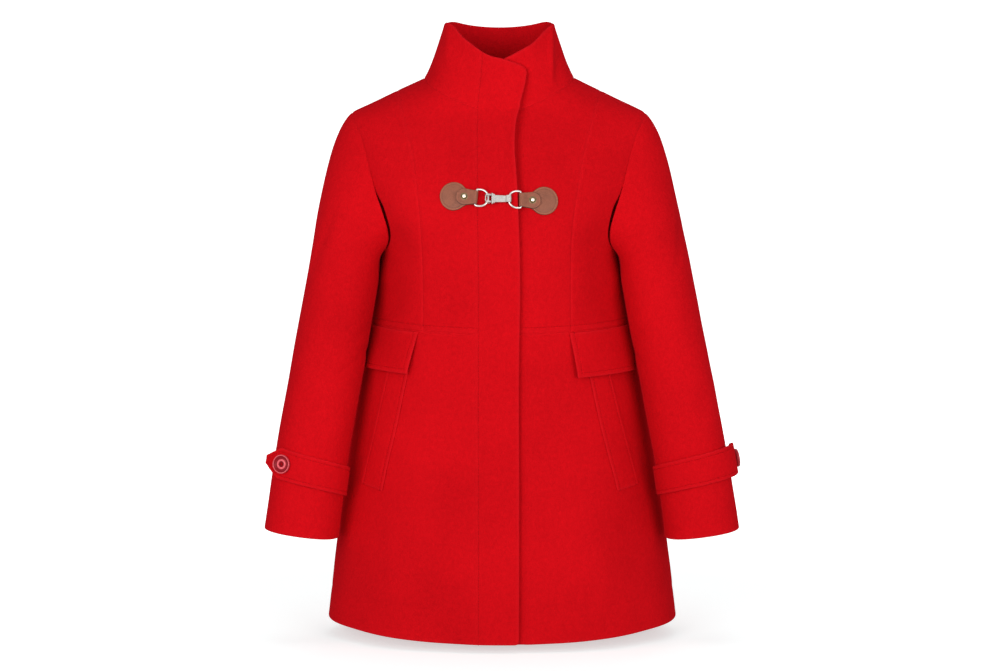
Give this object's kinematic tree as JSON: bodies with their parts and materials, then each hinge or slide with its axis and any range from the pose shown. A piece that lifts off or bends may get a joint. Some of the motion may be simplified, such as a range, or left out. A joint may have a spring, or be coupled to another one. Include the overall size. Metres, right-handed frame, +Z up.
{
  "type": "funnel neck wool coat",
  "caption": "Hollow wool coat with a standing funnel collar, lapped front band, princess seams, flared skirt with flaps and slanted welts, cuff straps and a leather and metal clasp.",
  "frame": {"origin": "middle of the neck base, at the height of the shoulder points, where the wearer holds the coat up", "axes": "+Z up, -Y towards the coat's front, +X towards the wearer's left"},
  "size_m": [0.6381, 0.295, 0.8196],
  "materials": {
    "wool": "matt brushed wool",
    "leather": "satin",
    "button": "gloss",
    "steel": "polished",
    "brass": "polished"
  },
  "bodies": {
    "root": {"back_bodice": "wool", "clasp_patch_left": "leather", "clasp_patch_right": "leather", "clasp_rivet_left": "brass", "clasp_rivet_right": "brass", "clasp_tab_left": "leather", "clasp_tab_right": "leather", "collar": "wool", "cuff_button_left": "button", "cuff_button_right": "button", "cuff_strap_left": "wool", "cuff_strap_right": "wool", "d_ring_left": "steel", "d_ring_right": "steel", "front_band": "wool", "front_left": "wool", "front_right": "wool", "pocket_flap_left": "wool", "pocket_flap_right": "wool", "pocket_welt_left": "wool", "pocket_welt_right": "wool", "side_front_left": "wool", "side_front_right": "wool", "skirt_back": "wool", "skirt_front_left": "wool", "skirt_front_right": "wool", "sleeve_left": "wool", "sleeve_right": "wool", "snap_hook": "steel"}
  },
  "joints": []
}
